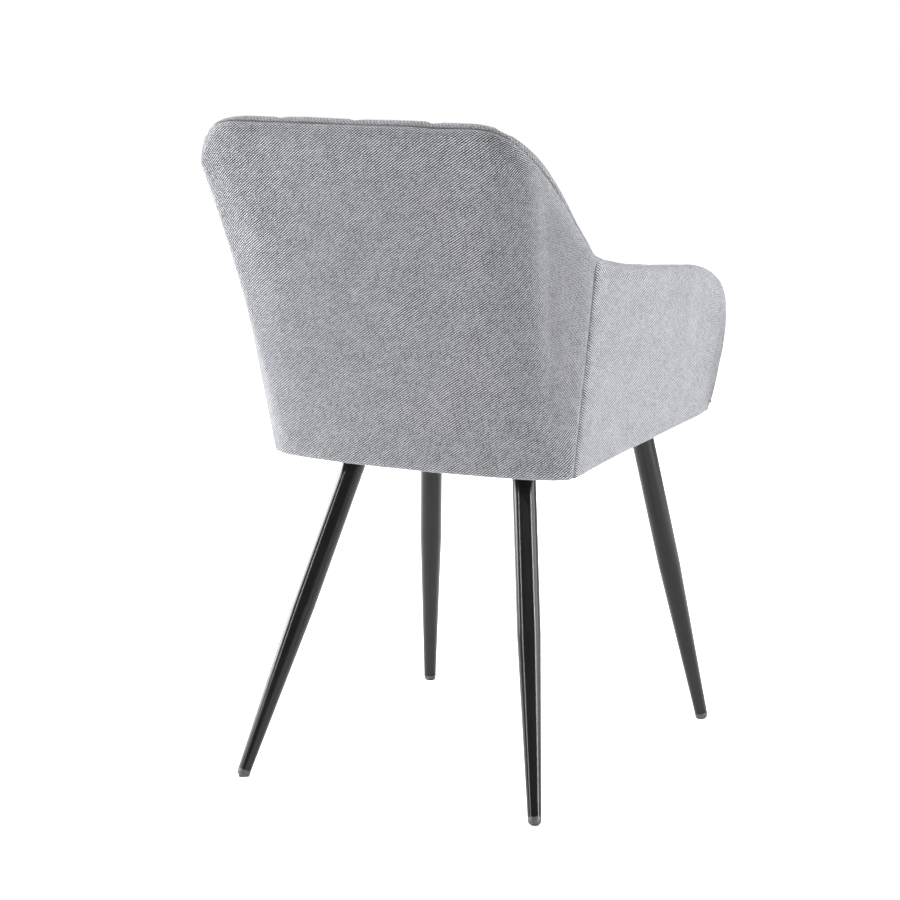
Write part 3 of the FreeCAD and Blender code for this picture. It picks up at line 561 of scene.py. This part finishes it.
def weave_material(name, dark, mid, light, column=4.3, row=3.02):
    """Twill: fine diagonal ribs broken into short light dashes, from the stored weave coordinates."""
    k = Nodes(name)
    where = k.add("ShaderNodeAttribute", attribute_name="weave", attribute_type="GEOMETRY")
    split = k.add("ShaderNodeSeparateXYZ")
    k.link(where.outputs["Vector"], split.inputs[0])
    drift = k.noise(where.outputs["Vector"], 60.0, 1.0)
    across = k.math("MULTIPLY", split.outputs[0], 1000.0 / column)
    swayed = k.math("ADD", split.outputs[1], k.math("MULTIPLY", drift, 0.001))
    level = k.math("MULTIPLY", swayed, 1000.0 / row)
    along_rib = k.math("SUBTRACT", level, across)
    rib = k.math("SINE", k.math("MULTIPLY", along_rib, 2 * math.pi))
    dashes = k.math("SINE", k.math("MULTIPLY", k.math("ADD", level, across), 2 * math.pi))
    rows = k.math("SINE", k.math("MULTIPLY", level, 2 * math.pi))
    yarn = k.add("ShaderNodeCombineXYZ")
    k.link(k.math("FLOOR", along_rib), yarn.inputs[0])
    k.link(k.math("FLOOR", across), yarn.inputs[1])
    white = k.add("ShaderNodeTexWhiteNoise", noise_dimensions="3D")
    k.link(yarn.outputs[0], white.inputs["Vector"])
    height = k.math("MULTIPLY_ADD", rib, 0.38, 0.5)
    height = k.math("MULTIPLY_ADD", dashes, 0.20, height)
    height = k.math("MULTIPLY_ADD", rows, 0.12, height)
    fibre = k.noise(where.outputs["Vector"], 900.0, 1.0, 0.6)
    tone = k.math("MULTIPLY_ADD", white.outputs["Value"], 0.16, k.math("SUBTRACT", height, 0.08))
    tone = k.math("MULTIPLY_ADD", fibre, 1.0, k.math("SUBTRACT", tone, 0.50))
    cloud = k.noise(where.outputs["Vector"], 26.0, 3.0)
    tone = k.math("MULTIPLY_ADD", cloud, 0.20, k.math("SUBTRACT", tone, 0.10))
    colour = k.ramp(tone, [(0.30, dark), (0.50, mid), (0.72, light)])
    k.link(colour, k.shader.inputs["Base Color"])
    k.set(Roughness=0.92, Specular_IOR_Level=0.2, Sheen_Weight=0.15, Sheen_Roughness=0.6)
    relief = k.math("MULTIPLY_ADD", fibre, 0.3, height)
    k.link(k.bump(relief, 0.9, 0.0012), k.shader.inputs["Normal"])
    return k.material


def lining_material(name):
    k = Nodes(name)
    where = k.add("ShaderNodeTexCoord")
    fine = k.noise(where.outputs["Object"], 900.0, 3.0, 0.7)
    broad = k.noise(where.outputs["Object"], 30.0, 3.0)
    tone = k.math("MULTIPLY_ADD", fine, 0.7, k.math("MULTIPLY", broad, 0.3))
    k.link(k.ramp(tone, [(0.3, grey(0.008)), (0.75, grey(0.035))]), k.shader.inputs["Base Color"])
    k.set(Roughness=0.9)
    k.link(k.bump(fine, 0.5, 0.0004), k.shader.inputs["Normal"])
    return k.material


def paint_material(name):
    """Satin black powder coat with a faint orange peel."""
    k = Nodes(name)
    where = k.add("ShaderNodeTexCoord")
    peel = k.noise(where.outputs["Object"], 900.0, 2.0)
    broad = k.noise(where.outputs["Object"], 18.0, 4.0)
    colour = k.ramp(broad, [(0.3, grey(0.002)), (0.7, grey(0.004, (1, 1, 1.15)))])
    k.link(colour, k.shader.inputs["Base Color"])
    rough = k.math("MULTIPLY_ADD", broad, 0.08, 0.12)
    k.link(rough, k.shader.inputs["Roughness"])
    k.set(Metallic=0.0, Specular_IOR_Level=0.18)
    k.link(k.bump(peel, 0.12, 0.0002), k.shader.inputs["Normal"])
    return k.material


def plastic_material(name):
    k = Nodes(name)
    where = k.add("ShaderNodeTexCoord")
    grain = k.noise(where.outputs["Object"], 1500.0, 3.0)
    broad = k.noise(where.outputs["Object"], 60.0, 3.0)
    k.link(k.ramp(broad, [(0.3, grey(0.011)), (0.7, grey(0.022))]), k.shader.inputs["Base Color"])
    k.link(k.math("MULTIPLY_ADD", grain, 0.15, 0.45), k.shader.inputs["Roughness"])
    k.link(k.bump(grain, 0.2, 0.0002), k.shader.inputs["Normal"])
    return k.material


def zinc_material(name):
    k = Nodes(name)
    where = k.add("ShaderNodeTexCoord")
    spangle = k.noise(where.outputs["Object"], 140.0, 4.0)
    fine = k.noise(where.outputs["Object"], 900.0, 2.0)
    k.link(k.ramp(spangle, [(0.3, grey(0.46, (1, 1, 1.03))), (0.7, grey(0.66, (1, 0.99, 0.97)))]),
           k.shader.inputs["Base Color"])
    k.set(Metallic=1.0)
    k.link(k.math("MULTIPLY_ADD", spangle, 0.25, 0.25), k.shader.inputs["Roughness"])
    k.link(k.bump(fine, 0.1, 0.0002), k.shader.inputs["Normal"])
    return k.material


def wood_material(name, low, high, rings):
    k = Nodes(name)
    where = k.add("ShaderNodeTexCoord")
    shape = k.add("ShaderNodeMapping")
    shape.inputs["Scale"].default_value = rings
    k.link(where.outputs["Object"], shape.inputs["Vector"])
    grain = k.noise(shape.outputs["Vector"], 9.0, 6.0, 0.6)
    pores = k.noise(shape.outputs["Vector"], 70.0, 4.0, 0.6)
    tone = k.math("MULTIPLY_ADD", grain, 0.7, k.math("MULTIPLY", pores, 0.3))
    k.link(k.ramp(tone, [(0.3, low), (0.72, high)]), k.shader.inputs["Base Color"])
    k.link(k.math("MULTIPLY_ADD", pores, 0.2, 0.5), k.shader.inputs["Roughness"])
    k.link(k.bump(tone, 0.25, 0.0005), k.shader.inputs["Normal"])
    return k.material


GREY_WEAVE = weave_material("grey_weave_cloth", grey(0.001, (0.92, 0.97, 1.14)),
                            grey(0.024, (0.92, 0.97, 1.14)), grey(0.27, (0.96, 0.985, 1.07)))
# Darker grey weave for the seam cords: painted shade in the bottom of the seam grooves
SEAM_SHADE_WEAVE = weave_material("grey_weave_seam_painted_shade", grey(0.02), grey(0.06), grey(0.14), column=1.6, row=1.1)
MATERIALS = {
    "leg_paint": paint_material("satin_black_paint"),
    "glide_plastic": plastic_material("black_glide"),
    "zinc_steel": zinc_material("zinc_plate"),
    "plywood": wood_material("birch_ply", (0.42, 0.27, 0.13), (0.66, 0.48, 0.28), (2, 14, 40)),
    "hardwood": wood_material("sawn_beech", (0.36, 0.21, 0.11), (0.58, 0.38, 0.22), (9, 9, 1)),
    "lining_cloth": lining_material("black_lining"),
}
slots = {part["node"]: part["material_slot"] for part in frame["record"]["subparts"]}
for node_name, node in nodes.items():
    chosen = MATERIALS.get(slots.get(node_name), GREY_WEAVE)
    node.data.materials.clear()
    node.data.materials.append(chosen)


def finish_piece(obj, material, slot, *replaced):
    obj.data.materials.clear()
    obj.data.materials.append(material)
    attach(obj, "root")
    if replaced:
        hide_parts(*replaced)
    return obj


# Outer covers

outer_back = outer_panel("outer_back_panel", -T_SEAM, T_SEAM, BACK_SEAM_SHARE, False)
finish_piece(outer_back, GREY_WEAVE, "grey_weave", "back_outer_cover", "back_wadding")
for side, start, stop in (("right", T_SEAM, T_END), ("left", -T_END, -T_SEAM)):
    panel = outer_panel("outer_side_panel_" + side, start, stop, ARM_SEAM_SHARE, True)
    finish_piece(panel, GREY_WEAVE, "grey_weave", "side_cover_" + side, "side_wadding_" + side)

# Inner covers

CHANNELS = [-165.0, -89.0, 0.0, 89.0, 165.0]
pad_t = np.linspace(-T_SEAM, T_SEAM, 129)
inner_back = inner_pad("inner_back_pad", pad_t, BACK_SEAM_SHARE, CHANNELS, 74, 12, 5.0, 9.0)
finish_piece(inner_back, GREY_WEAVE, "grey_weave", "back_inner_cover", "back_foam")
for side, start, stop in (("right", T_SEAM, T_END), ("left", -T_END, -T_SEAM)):
    arm_t = stations_between(start, stop, 5.0)
    pad = inner_pad("inner_arm_pad_" + side, arm_t, ARM_SEAM_SHARE, [], 34, 5, 4.0, 5.0)
    finish_piece(pad, GREY_WEAVE, "grey_weave", "arm_inner_cover_" + side, "arm_foam_" + side)

# Seams: a thin closing cord in the bottom of each groove, in a darker grey weave that paints the groove's
# shade


def seam_path(t, share, sunk):
    b, r, q, e, inward, rc, thick = shell_frame(t)
    p = roll_points(q, e, inward, rc, thick, [share])[:, 0]
    middle = q + inward * rc
    return p - unit(p - middle) * sunk


def corner_path(t0, sunk):
    grid = outer_grid(np.array([t0 - 1.0, t0, t0 + 1.0]), BACK_SEAM_SHARE)
    n = grid_normals(grid)[1]
    path = grid[1]
    if np.dot(n[50], path[50] * np.array([1, 1, 0])) < 0:
        n = -n
    return path[5:] - n[5:] * sunk


seams = [
    ("rim_seam", seam_path(stations_between(-T_SEAM, T_SEAM, 4.5), BACK_SEAM_SHARE, 1.9)),
    ("corner_seam_right", corner_path(T_SEAM, 2.2)),
    ("corner_seam_left", corner_path(-T_SEAM, 2.2)),
    ("arm_seam_right", seam_path(stations_between(T_SEAM, T_END, 4.5), ARM_SEAM_SHARE, 1.9)),
    ("arm_seam_left", seam_path(stations_between(-T_END, -T_SEAM, 4.5), ARM_SEAM_SHARE, 1.9)),
]
for seam_name, path in seams:
    cord = tube(seam_name, path, 0.9)
    finish_piece(cord, SEAM_SHADE_WEAVE, "grey_weave")

# Seat cushion


def seat_cushion():
    source = nodes["seat_foam"].data
    mesh = source.copy()
    mesh.materials.clear()
    obj = bpy.data.objects.new("seat_cushion", mesh)
    bpy.context.scene.collection.objects.link(obj)
    co = np.zeros(len(mesh.vertices) * 3)
    mesh.vertices.foreach_get("co", co)
    co = co.reshape(-1, 3)
    low = co.min(0)
    high = co.max(0)
    middle = (low + high) / 2
    co[:, 0] = middle[0] + (co[:, 0] - middle[0]) * (163.0 / 159.0)
    mesh.vertices.foreach_set("co", co.ravel())
    remesh = obj.modifiers.new("Remesh", "REMESH")
    remesh.mode = "VOXEL"
    remesh.voxel_size = 0.0055
    flat = bpy.data.meshes.new_from_object(obj.evaluated_get(bpy.context.evaluated_depsgraph_get()))
    obj.modifiers.clear()
    obj.data = flat
    co = np.zeros(len(flat.vertices) * 3)
    flat.vertices.foreach_get("co", co)
    co = co.reshape(-1, 3)
    held = np.nonzero((co[:, 2] < 0.447) | (co[:, 1] > high[1] - 0.004))[0]
    simulate(obj, held.tolist(), 4.0, 13.0)
    level = obj.modifiers.new("Subdivision", "SUBSURF")
    level.levels = 1
    level.render_levels = 1
    final = bpy.data.meshes.new_from_object(obj.evaluated_get(bpy.context.evaluated_depsgraph_get()))
    obj.modifiers.clear()
    obj.data = final
    final.shade_smooth()
    return obj, low * 1000, high * 1000


def welt_outline(low, high, inset, corner_rear, corner_front, count=200):
    """Rounded rectangle in plan, as points every few millimetres."""
    x0, x1 = low[0] + inset, high[0] - inset
    y0, y1 = low[1] + inset, high[1] - inset
    corners = [
        (x1 - corner_front, y0 + corner_front, corner_front, -90),
        (x1 - corner_rear, y1 - corner_rear, corner_rear, 0),
        (x0 + corner_rear, y1 - corner_rear, corner_rear, 90),
        (x0 + corner_front, y0 + corner_front, corner_front, 180),
    ]
    points = []
    for cx, cy, r, start in corners:
        for step in range(9):
            a = math.radians(start + 90 * step / 8)
            points.append((cx + r * math.cos(a), cy + r * math.sin(a)))
    points = np.array(points + points[:1])
    length = np.concatenate([[0], np.cumsum(np.linalg.norm(np.diff(points, axis=0), axis=1))])
    at = np.linspace(0, length[-1], count, endpoint=False)
    return np.stack([np.interp(at, length, points[:, 0]), np.interp(at, length, points[:, 1])], -1)


seat, seat_low, seat_high = seat_cushion()


def finish_seat():
    mesh = seat.data
    co = np.zeros(len(mesh.vertices) * 3)
    mesh.vertices.foreach_get("co", co)
    co = co.reshape(-1, 3) * 1000
    tree = BVHTree.FromPolygons([tuple(c) for c in co], [tuple(p.vertices) for p in mesh.polygons])
    ring = welt_outline(seat_low, seat_high, 7.0, 30.0, 20.0)
    path = []
    for x, y in ring:
        hit = tree.ray_cast(Vector((x, y, 700.0)), Vector((0, 0, -1)))[0]
        path.append((x, y, hit.z if hit is not None else seat_high[2]))
    path = np.array(path)
    for sweep in range(6):
        path[:, 2] = (np.roll(path[:, 2], 1) + path[:, 2] * 2 + np.roll(path[:, 2], -1)) / 4
    kd = KDTree(len(path))
    for i, q in enumerate(path):
        kd.insert(Vector(q), i)
    kd.balance()
    normals = np.array([v.normal for v in mesh.vertices])
    dist = np.array([kd.find(Vector(q))[2] for q in co])
    co = co - normals * groove(dist, 2.0, 4.5)[:, None]
    top = smooth(normals[:, 2], 0.3, 0.75)
    front = smooth(-normals[:, 1], 0.3, 0.75) * (1 - top)
    u = co[:, 0]
    v = co[:, 1] * top + (1 - top) * co[:, 2]
    mesh.vertices.foreach_set("co", (co * MM).ravel())
    u = np.where(np.abs(normals[:, 0]) > 0.75, co[:, 1], u)
    store_weave(seat, np.stack([u, v], -1) * MM)
    mesh.update()
    welt = tube("seat_welt", path + np.array([0, 0, -0.2]), 2.3, sides=10, closed=True)
    finish_piece(welt, GREY_WEAVE, "grey_weave")


finish_seat()
finish_piece(seat, GREY_WEAVE, "grey_weave", "seat_cover", "seat_foam")

# Lining stretched under the seat

LINING_INSET = 9.0
LINING_FRONT = -272.0
LINING_SAG = 3.0
LEG_HOLE = 17.8


def lining_sheet():
    half_t = np.concatenate([np.linspace(0, T_SEAM, 40), np.linspace(T_SEAM, SHELL["steps"][13], 60)[1:]])
    b = SHELL["base"](half_t)
    inward = -unit(SHELL["out"](half_t))
    edge = b + inward * LINING_INSET
    order = np.argsort(-edge[:, 1])
    ys = np.linspace(edge[:, 1].max() - 0.5, LINING_FRONT, 96)
    widths = np.interp(-ys, -edge[order, 1], np.abs(edge[order, 0]))
    cols = 61
    grid = np.zeros((len(ys), cols, 3))
    for i, (y, w) in enumerate(zip(ys, widths)):
        half = max(w, 4.0)
        x = np.linspace(-half, half, cols)
        level = base_height(y) + 1.2
        across = 1 - (x / half) ** 2
        along = max(0.0, 1 - ((y + 60.0) / 235.0) ** 2)
        grid[i, :, 0] = x
        grid[i, :, 1] = y
        grid[i, :, 2] = level - LINING_SAG * across * along
    obj = closed_mesh("underside_lining", grid, grid + np.array([0, 0, 0.8]))
    area = 0.0
    for i in range(len(ys) - 1):
        area += (widths[i] + widths[i + 1]) * (ys[i] - ys[i + 1])
    for name in ("rear_left", "rear_right", "front_left", "front_right"):
        leg = np.array([v.co for v in nodes["leg_" + name].data.vertices]) * 1000
        near = leg[(leg[:, 2] > 385)]
        far = leg[(leg[:, 2] < 120)]
        top, foot = near.mean(0), far.mean(0)
        axis = unit(top - foot)
        bpy.ops.mesh.primitive_cylinder_add(vertices=48, radius=LEG_HOLE * MM, depth=0.12)
        cutter = bpy.context.active_object
        centre = foot + axis * (400.0 - foot[2]) / axis[2]
        cutter.location = Vector(centre * MM)
        cutter.rotation_euler = Vector(axis).to_track_quat("Z", "Y").to_euler()
        bpy.context.view_layer.update()
        cut = obj.modifiers.new("hole", "BOOLEAN")
        cut.operation = "DIFFERENCE"
        cut.solver = "EXACT"
        cut.object = cutter
        result = bpy.data.meshes.new_from_object(obj.evaluated_get(bpy.context.evaluated_depsgraph_get()))
        obj.modifiers.clear()
        obj.data = result
        bpy.data.objects.remove(cutter)
        area -= math.pi * LEG_HOLE**2
    obj.data.shade_smooth()
    width = 2 * widths.max()
    length = ys[0] - ys[-1]
    return obj, width * MM, length * MM, area * MM * MM


lining, lining_width, lining_length, lining_area = lining_sheet()
finish_piece(lining, MATERIALS["lining_cloth"], "lining_cloth", "seat_lining")

# Floor, light and camera

floor_mesh = bpy.data.meshes.new("floor")
floor_mesh.from_pydata([(-80, -80, 0), (80, -80, 0), (80, 80, 0), (-80, 80, 0)], [], [(0, 1, 2, 3)])
floor = bpy.data.objects.new("floor", floor_mesh)
bpy.context.scene.collection.objects.link(floor)
floor_nodes = Nodes("pale_floor")
floor_nodes.set(Roughness=0.95, Base_Color=(0.97, 0.97, 0.97, 1), Specular_IOR_Level=0.1)
floor_mesh.materials.append(floor_nodes.material)

world = bpy.data.worlds.new("studio")
bpy.context.scene.world = world
world.use_nodes = True
world.node_tree.nodes["Background"].inputs["Color"].default_value = (1, 1, 1, 1)
world.node_tree.nodes["Background"].inputs["Strength"].default_value = 0.62

AIM = Vector((0.042396, -0.0204, 0.38347))
AZIMUTH = math.radians(207.7347)
ELEVATION = math.radians(10.7855)
CAMERA_DISTANCE = 3.42339


def soft_light(name, azimuth, elevation, distance, width, height, power):
    """Area light, placed by its direction from the chair: degrees, metres and watts."""
    light = bpy.data.lights.new(name, "AREA")
    light.shape = "RECTANGLE"
    light.size = width
    light.size_y = height
    light.energy = power
    obj = bpy.data.objects.new(name, light)
    a, e = math.radians(azimuth), math.radians(elevation)
    back = Vector((math.sin(a) * math.cos(e), -math.cos(a) * math.cos(e), math.sin(e)))
    aim = Vector((0, 0, 0.45))
    obj.location = aim + back * distance
    obj.rotation_euler = back.to_track_quat("Z", "Y").to_euler()
    bpy.context.scene.collection.objects.link(obj)


soft_light("key_right", 292, 20, 3.0, 2.4, 2.4, 150)
soft_light("key_left", 95, 20, 3.0, 2.4, 2.4, 380)
soft_light("strip_right", 271, 6, 3.0, 0.18, 1.7, 80)
soft_light("strip_left", 145, 6, 3.0, 0.18, 1.7, 55)
soft_light("top", 330, 80, 2.8, 2.4, 2.4, 35)
soft_light("front", 20, 30, 3.4, 2.0, 1.6, 45)

sun_data = bpy.data.lights.new("overhead", "SUN")
sun_data.energy = 1.35
sun_data.angle = math.radians(120)
sun = bpy.data.objects.new("overhead", sun_data)
bpy.context.scene.collection.objects.link(sun)

camera_data = bpy.data.cameras.new("camera")
camera_data.sensor_width = 36.0
camera_data.lens = 108.0
camera_data.clip_end = 200
camera = bpy.data.objects.new("camera", camera_data)
towards = Vector((math.sin(AZIMUTH) * math.cos(ELEVATION), -math.cos(AZIMUTH) * math.cos(ELEVATION),
                  math.sin(ELEVATION)))
camera.location = AIM + towards * CAMERA_DISTANCE
camera.rotation_euler = towards.to_track_quat("Z", "Y").to_euler()
bpy.context.scene.collection.objects.link(camera)
bpy.context.scene.camera = camera
bpy.context.scene.view_settings.view_transform = "Standard"
